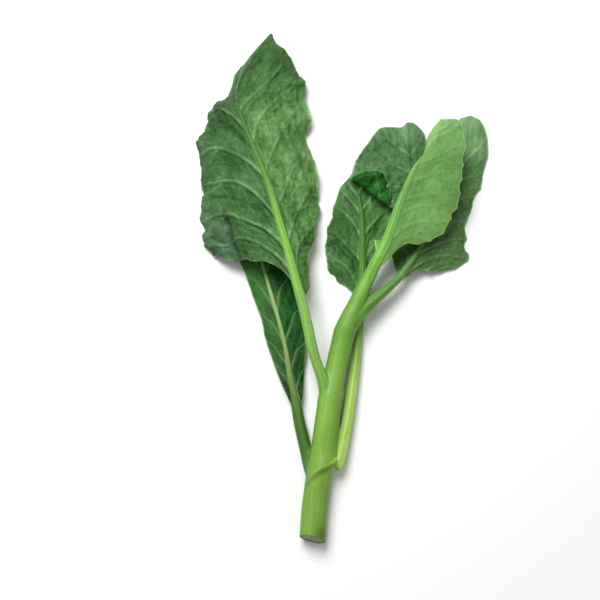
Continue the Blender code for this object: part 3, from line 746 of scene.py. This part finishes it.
def blade_relief(leaf, number, along, across, size):
    """How far each point stands above the plain sheet: veins, puckers between them, wrinkles."""
    full = np.minimum(size["width"] / FULL_WIDTH, 1) * ease(1 - along, 0, 0.15)
    inner = ease(size["beside"], 0, 5) * full
    places = size["place"] + number * 100
    uneven = 1 + 0.5 * soft_noise(places, *PATCHES)
    gap = size["vein"]
    veins = bump(gap, VEIN_HEIGHT, VEIN_WIDTH * (0.6 + 0.4 * size["strength"]))
    groove = bump(gap + GROOVE_BELOW, GROOVE_DEPTH, GROOVE_WIDTH)
    depth = PUCKER * how_veined(leaf, across) * uneven
    pucker = depth * (1 - bump(gap, 1, PUCKER_REACH)) * inner
    net = net_distance(places, CELL_SIZE, CELL_SEED)
    cells = CELL_DEPTH * leaf["crinkle"] * ease(net, 0, CELL_REACH) * inner
    seam = SEAM_DEPTH * ease(along, leaf["rib_end"] - 0.05, leaf["rib_end"] + 0.03)
    seam = seam * bump(across * size["width"], 1, SEAM_WIDTH)
    strength = size["strength"] * uneven
    underside = (veins - groove) * full * strength - pucker - cells - seam * full
    rise, reach = leaf.get("fillet", (0.3, 1.6))
    fillet = size["radius"] * rise * np.exp(-size["beside"] / reach)
    fillet *= 1 - ease(along, leaf["rib_end"] - 0.1, leaf["rib_end"] + 0.05)
    *wrinkles, frill = (height * soft_noise(places * (1, narrower), *noise)
                        for height, narrower, *noise in (*WRINKLES, FRILL))
    wrinkles, frill = sum(wrinkles), frill * np.abs(across) ** 5
    if "folds" in leaf:
        middle, reach, start, spacing, depth = leaf["folds"]
        turns = size["place"][:, 1] / spacing + 0.4 * soft_noise(places, *FOLD_BENDS)
        depth = bump(along - middle, depth, reach) * ease(across, start, start + 0.15)
        wrinkles += depth * np.sin(2 * np.pi * turns)
    bumps = (wrinkles * inner + frill * full) * leaf["crinkle"]
    return -rib_side(leaf) * (underside + fillet) + bumps


def blade_colours(leaf, along, across, width):
    """The green of each point with its painted light and shade, before the materials add wax and veins to
    it.
    """
    left, right, tip = leaf["greens"]
    sides = blend_colours((left, right), ease(across, -0.2, 0.2))
    to_tip = ease(along, 0.5, 0.95)[:, None]
    colours = sides * (1 - to_tip) + np.array(linear(tip)) * to_tip
    if "crease" in leaf:
        at, _, until = leaf["crease"]
        beyond = ease(-across, at, at + CREASE_WIDTH) * ease(until - along, 0, CREASE_FADE)
        colours *= 1 + beyond[:, None] * FLAP_SHADE
        # A painted shadow: a dark line along the crease
        line = bump(across + at + CREASE_WIDTH / 2, 0.5, 0.022) * ease(until - along, 0, CREASE_FADE)
        colours[:, :3] *= 1 - line[:, None]
    # Spots of painted shade
    for at, side, reach, loss in leaf.get("patches", ()):
        spot = bump(along - at, 1, reach) * bump(across - side, 1, reach * 2.5)
        colours[:, :3] *= 1 - loss * spot[:, None]
    narrow = ease(NARROW - width, 0, 5) * (along < 0.3)
    colours[:, :3] *= 1 - 0.4 * narrow[:, None]
    # Painted shade in the seam past the rib's end
    seam = ease(along, leaf["pale_end"], leaf["pale_end"] + 0.08) * ease(1 - along, 0, 0.1)
    colours *= 1 - 0.3 * (seam * bump(across * width, 1, SEAM_WIDTH))[:, None]
    return colours


def make_blade(name, number, leaf, materials):
    rib = smooth_line(leaf["rib"], np.linspace(0, 1, 60))
    widest = max(np.linalg.norm(np.subtract(a, b)) for a, b in zip(leaf["left"], leaf["right"]))
    rows, columns = int(passed_along(rib)[-1] / GRID_SPACING), int(widest / GRID_SPACING)
    deselect_all()
    bpy.ops.mesh.primitive_grid_add(x_subdivisions=columns, y_subdivisions=rows, size=2)
    blade = bpy.context.object
    blade.name = blade.data.name = name
    across, along, _ = read_vectors(blade.data, "co").T
    along = (along + 1) / 2
    sheet = blade_sheet(leaf, along, across)
    size = measure_blade(leaf, along, across, sheet)
    relief = blade_relief(leaf, number, along, across, size)
    points = sheet + sheet_normals(sheet, (rows + 1, columns + 1)) * relief[:, None]
    if "fold" in leaf:
        points = roll_over(points, *leaf["fold"])
    points[:, 2] = np.maximum(points[:, 2], LOWEST_BLADE)
    write_points(blade.data, points)
    pattern = np.full_like(along, number * PATTERN_STEP)
    write_attribute(blade.data, "place", np.column_stack([size["place"], pattern]))
    write_attribute(blade.data, "tint", blade_colours(leaf, along, across, size["width"]))
    # Painted light and shade on an upper face: darker towards the foot, and its left half lighter
    shades = np.interp(along, (0, 1), leaf.get("face_shade", (1, 1)))[:, None] * np.ones(4)
    if leaf.get("face_up"):
        shades *= 1 + ease(-across, -0.1, 0.2)[:, None] * LIT_HALF
    write_attribute(blade.data, "shade", shades)
    write_attribute(blade.data, "mottled", np.full_like(along, leaf.get("mottled", 1)))
    for measure in ("vein", "strength", "rib", "edge"):
        write_attribute(blade.data, measure, size[measure])
    add_wall(blade, leaf, *materials)
    return blade


def add_wall(blade, leaf, underside, face, rim):
    """Gives the sheet its thickness, with the underside or the upper face on top."""
    top, bottom = (underside, face) if rib_side(leaf) < 0 else (face, underside)
    for material in (top, bottom, rim):
        blade.data.materials.append(material)
    wall = blade.modifiers.new("Wall", "SOLIDIFY")
    wall.thickness = BLADE_THICKNESS * MM
    wall.offset = 0
    wall.material_offset = 1
    wall.material_offset_rim = 2
    apply_modifiers(blade)
    blade.data.shade_smooth()


# Materials

BLEND = dict(data_type="RGBA")  # a mix that blends one colour into another
TIMES = dict(data_type="RGBA", blend_type="MULTIPLY")  # a mix that multiplies one by another


def fill(material, node, inputs):
    """Gives a node's inputs values, or links from sockets or from nodes' first outputs in use."""
    for name, value in inputs.items():
        if isinstance(value, bpy.types.Node):
            value = next(output for output in value.outputs if output.enabled)
        if isinstance(value, bpy.types.NodeSocket):
            material.node_tree.links.new(value, node.inputs[name])
        else:
            node.inputs[name].default_value = value


def add(material, kind, inputs=None, **settings):
    """Adds a node with its settings and its inputs."""
    node = material.node_tree.nodes.new(kind)
    for name, value in settings.items():
        setattr(node, name, value)
    fill(material, node, inputs or {})
    return node


def new_material(name):
    material = bpy.data.materials.new(name)
    material.use_nodes = True
    return material, material.node_tree.nodes["Principled BSDF"]


def coat(material, under, measure, span, shares, colour, mix=TIMES, strength=None):
    """Lays a colour over what is under it, by a share that follows the measure through its span."""
    ends = zip(("From Min", "From Max", "To Min", "To Max"), (*span, *shares))
    share = add(material, "ShaderNodeMapRange", {"Value": measure, **dict(ends)})
    if strength:
        share = add(material, "ShaderNodeMath", {0: share, 1: strength}, operation="MULTIPLY")
    return add(material, "ShaderNodeMix", {0: share, 6: under, 7: colour}, **mix)


def leaf_underside():
    """The dull underside of a brassica leaf: grey-green under a waxy bloom, with paler veins and painted
    shade.
    """
    m, shader = new_material("waxy_leaf_underside")
    place = add(m, "ShaderNodeAttribute", attribute_name="place").outputs["Vector"]
    tint = add(m, "ShaderNodeAttribute", attribute_name="tint").outputs["Color"]
    mottled, vein, strength, rib, edge = (
        add(m, "ShaderNodeAttribute", attribute_name=name).outputs["Fac"]
        for name in ("mottled", "vein", "strength", "rib", "edge")
    )
    # Blotches of bloom about 12 mm long and 8 mm across
    stretched = add(m, "ShaderNodeMapping", {"Vector": place, "Scale": (0.08, 0.12, 1)})
    blotches = add(m, "ShaderNodeTexNoise", {"Vector": stretched, "Scale": 1, "Detail": 4})
    waxed = coat(m, tint, blotches, (0.47, 0.68), (0, 0.85), (1.42, 1.24, 1.65, 1))
    # Painted shade: darker fields of 15 to 30 mm
    shade_fields = add(m, "ShaderNodeTexNoise",
                 {"Vector": place, "Scale": 0.045, "Detail": 5, "Roughness": 0.6})
    base = coat(m, waxed, shade_fields, (0.42, 0.58), (0.95, 0), (0.52, 0.63, 0.48, 1))
    # Crinkles about 3 mm apart, a little longer up the leaf, with painted shadow in them
    crinkle_place = add(m, "ShaderNodeMapping", {"Vector": place, "Scale": (0.26, 0.4, 1)})
    crinkles = add(m, "ShaderNodeTexNoise",
                   {"Vector": crinkle_place, "Scale": 1, "Detail": 6, "Roughness": 0.68})
    shaded = coat(m, base, crinkles, (0.35, 0.58), (0.7, 0), (0.4, 0.47, 0.38, 1))
    # Young leaves are more even, with fewer wax blotches and less painted shade
    calm = add(m, "ShaderNodeMix", {0: 1, 6: tint, 7: (0.86, 0.9, 0.86, 1)}, **TIMES)
    evened = add(m, "ShaderNodeMix", {0: mottled, 6: calm, 7: shaded}, **BLEND)
    # The fine net of veins in cells of about 4 mm, its lines bent by a little noise
    bend = add(m, "ShaderNodeTexNoise", {"Vector": place, "Scale": 0.3, "Detail": 2})
    bent = add(m, "ShaderNodeVectorMath", {0: bend.outputs["Color"], 1: (2.5, 2.5, 0), 2: place},
               operation="MULTIPLY_ADD")
    net_place = add(m, "ShaderNodeMapping", {"Vector": bent, "Scale": (0.22, 0.26, 1)})
    net = add(m, "ShaderNodeTexVoronoi", {"Vector": net_place, "Scale": 1}, feature="DISTANCE_TO_EDGE")
    netted = coat(m, evened, net, (0, 0.12), (0.5, 0), (1.3, 1.22, 1.25, 1))
    # A painted shadow on the lower side of each side vein, then the pale vein itself
    below = add(m, "ShaderNodeMath", {0: vein, 1: 1.6}, operation="ADD")
    beside = add(m, "ShaderNodeMath", {0: below}, operation="ABSOLUTE")
    vein_shadowed = coat(m, netted, beside, (0.1, 1.2), (0.9, 0), (0.45, 0.52, 0.45, 1), TIMES, strength)
    distance = add(m, "ShaderNodeMath", {0: vein}, operation="ABSOLUTE")
    veined = coat(m, vein_shadowed, distance, (0.2, 1.25), (1.4, 0), (2.05, 1.7, 2.1, 1), TIMES, strength)
    # Paler beside the rib and along the margin
    ribbed = coat(m, veined, rib, (0, 2.2), (0.9, 0), (1.5, 1.5, 1.1, 1))
    edged = coat(m, ribbed, edge, (0.3, 1.2), (1, 0), (2.5, 2.1, 2.3, 1))
    fine = add(m, "ShaderNodeBump", {"Height": crinkles, "Strength": 0.6, "Distance": 0.8 * MM})
    fill(m, shader, {"Base Color": edged, "Normal": fine, "Roughness": 0.55,
                     "Specular IOR Level": 0.2, "Subsurface Weight": 0.06,
                     "Subsurface Radius": (0.4, 1.0, 0.3), "Subsurface Scale": 0.5 * MM})
    return m


def leaf_face():
    """The upper face of the leaf: deep green, smooth and a little shiny, with thin pale veins."""
    m, shader = new_material("deep_green_leaf_face")
    place = add(m, "ShaderNodeAttribute", attribute_name="place").outputs["Vector"]
    shade = add(m, "ShaderNodeAttribute", attribute_name="shade").outputs["Color"]
    vein, strength, rib, edge = (
        add(m, "ShaderNodeAttribute", attribute_name=name).outputs["Fac"]
        for name in ("vein", "strength", "rib", "edge")
    )
    # Lighter blotches about 12 mm long and 6 mm across
    stretched = add(m, "ShaderNodeMapping", {"Vector": place, "Scale": (0.08, 0.16, 1)})
    blotches = add(m, "ShaderNodeTexNoise", {"Vector": stretched, "Scale": 1, "Detail": 5})
    green = coat(m, linear("#0f4212"), blotches, (0.3, 0.7), (0, 1), linear("#20681f"), BLEND)
    # The green times the painted light and shade of the attribute shade
    base = add(m, "ShaderNodeMix", {0: 1, 6: green, 7: shade}, **TIMES)
    # The fine net of veins in cells of 4 to 5 mm, then the side veins, the rib and the margin
    net_place = add(m, "ShaderNodeMapping", {"Vector": place, "Scale": (0.2, 0.24, 1)})
    net = add(m, "ShaderNodeTexVoronoi", {"Vector": net_place, "Scale": 1}, feature="DISTANCE_TO_EDGE")
    netted = coat(m, base, net, (0, 0.08), (0.2, 0), linear("#4c7d40"), BLEND)
    distance = add(m, "ShaderNodeMath", {0: vein}, operation="ABSOLUTE")
    veined = coat(m, netted, distance, (0.1, 0.95), (1.3, 0), linear("#75995f"), BLEND, strength)
    ribbed = coat(m, veined, rib, (0, 0.95), (0.95, 0), linear("#9db475"), BLEND)
    edged = coat(m, ribbed, edge, (0, 0.9), (0.8, 0), linear("#7fae62"), BLEND)
    fine = add(m, "ShaderNodeBump", {"Height": net, "Strength": 0.25, "Distance": 0.6 * MM})
    fill(m, shader, {"Base Color": edged, "Normal": fine, "Roughness": 0.48,
                     "Specular IOR Level": 0.12})
    return m


def leaf_rim():
    """The thin margin of the leaf, a pale line of gristle."""
    m, shader = new_material("pale_leaf_margin")
    fill(m, shader, {"Base Color": linear("#93b777"), "Roughness": 0.5})
    return m


def stalk_skin():
    """The stalk's skin: smooth and fleshy, light green, with long faint fibres under a dull wax."""
    m, shader = new_material("fleshy_stalk_skin")
    place = add(m, "ShaderNodeAttribute", attribute_name="place").outputs["Vector"]
    tint = add(m, "ShaderNodeAttribute", attribute_name="tint").outputs["Color"]
    # Fibres about 2 mm apart and 30 mm long, darker and lighter than the skin
    along = add(m, "ShaderNodeMapping", {"Vector": place, "Scale": (0.035, 0.5, 0.5)})
    fibres = add(m, "ShaderNodeTexNoise",
                 {"Vector": along, "Scale": 1, "Detail": 4, "Roughness": 0.6})
    shaded = coat(m, tint, fibres, (0.35, 0.6), (0.45, 0), (0.68, 0.78, 0.6, 1))
    striped = coat(m, shaded, fibres, (0.5, 0.75), (0, 0.5), (1.3, 1.15, 1.35, 1))
    # Patches of thicker wax 12 mm across, and small darker flecks
    patches = add(m, "ShaderNodeTexNoise", {"Vector": place, "Scale": 0.085, "Detail": 4})
    waxed = coat(m, striped, patches, (0.45, 0.7), (0, 0.8), (1.15, 1.06, 1.4, 1))
    spots = add(m, "ShaderNodeTexNoise",
                {"Vector": place, "Scale": 0.5, "Detail": 3, "Roughness": 0.6})
    flecked = coat(m, waxed, spots, (0.32, 0.45), (0.7, 0), (0.75, 0.85, 0.7, 1))
    fine = add(m, "ShaderNodeBump", {"Height": fibres, "Strength": 0.35, "Distance": 0.4 * MM})
    fill(m, shader, {"Base Color": flecked, "Normal": fine, "Roughness": 0.4,
                     "Specular IOR Level": 0.23, "Subsurface Weight": 0.12,
                     "Subsurface Radius": (0.6, 1.0, 0.25), "Subsurface Scale": 1.5 * MM})
    return m


def cut_flesh():
    """The cut end: damp pale flesh darkened with painted shade, browned in spots, with a darker ring under
    the skin.
    """
    m, shader = new_material("shaded_browned_cut_flesh")
    place = add(m, "ShaderNodeTexCoord").outputs["Object"]
    out = add(m, "ShaderNodeVectorMath", {0: place, 1: Vector(FLESH_CENTRE) * MM}, operation="DISTANCE")
    inner, outer = (distance * MM for distance in FLESH_RING)
    base = coat(m, linear("#7a8c59"), out, (inner, outer), (0, 1), linear("#526337"), BLEND)
    spots = add(m, "ShaderNodeTexNoise", {"Vector": place, "Scale": 500, "Detail": 3})
    browned = coat(m, base, spots, (0.4, 0.65), (0, 0.5), linear("#605b3e"), BLEND)
    fine = add(m, "ShaderNodeBump", {"Height": spots, "Strength": 0.5, "Distance": 0.3 * MM})
    fill(m, shader, {"Base Color": browned, "Normal": fine, "Roughness": 0.5})
    return m


# The floor, the light and the camera


FLOOR_SIZE = 6  # in metres, as the light's place and size are
LIGHT_PLACE, LIGHT_TURN, LIGHT_SIZE, LIGHT_POWER = (-0.25, 0.55, 0.8), (-0.5, -0.25, 0), 0.5, 9
SKY_STRENGTH = 0.42
LENS, SENSOR = 85, 36
LOOKS_AT, CAMERA_DISTANCE, CAMERA_ELEVATION = (-8, 128, 10), 850, 76  # the last in degrees


def make_floor():
    bpy.ops.mesh.primitive_plane_add(size=FLOOR_SIZE)
    floor = bpy.context.object
    floor.name = "floor"
    material, shader = new_material("white_paper")
    paper = {"Base Color": linear("#fafafa"), "Roughness": 0.9, "Specular IOR Level": 0.1}
    fill(material, shader, paper)
    floor.data.materials.append(material)


def make_light():
    light = bpy.data.objects.new("soft_box", bpy.data.lights.new("soft_box", "AREA"))
    light.data.size = LIGHT_SIZE
    light.data.energy = LIGHT_POWER
    light.location = LIGHT_PLACE
    light.rotation_euler = LIGHT_TURN
    bpy.context.scene.collection.objects.link(light)
    world = bpy.data.worlds.new("studio")
    bpy.context.scene.world = world
    world.use_nodes = True
    sky = world.node_tree.nodes["Background"]
    fill(world, sky, {"Color": (1, 1, 1, 1), "Strength": SKY_STRENGTH})
    bpy.context.scene.view_settings.view_transform = "Standard"


def make_camera():
    """Looks steeply down from the cut end's side."""
    camera = bpy.data.objects.new("camera", bpy.data.cameras.new("camera"))
    camera.data.lens = LENS
    camera.data.sensor_width = SENSOR
    target = Vector(LOOKS_AT) * MM
    elevation = math.radians(CAMERA_ELEVATION)
    away = Vector((0, -math.cos(elevation), math.sin(elevation)))
    camera.location = target + CAMERA_DISTANCE * MM * away
    camera.rotation_euler = (math.pi / 2 - elevation, 0, 0)
    bpy.context.scene.collection.objects.link(camera)
    bpy.context.scene.camera = camera


def main():
    make_camera()
    make_light()
    deselect_all()
    make_floor()
    stalk = make_stalk()
    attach(stalk, "root")
    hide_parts("stem", *(name + "_rib" for name in LEAVES))
    materials = leaf_underside(), leaf_face(), leaf_rim()
    for number, (name, leaf) in enumerate(LEAVES.items()):
        blade = make_blade(name, number, leaf, materials)
        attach(blade, "root")
        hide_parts(name + "_blade")


main()
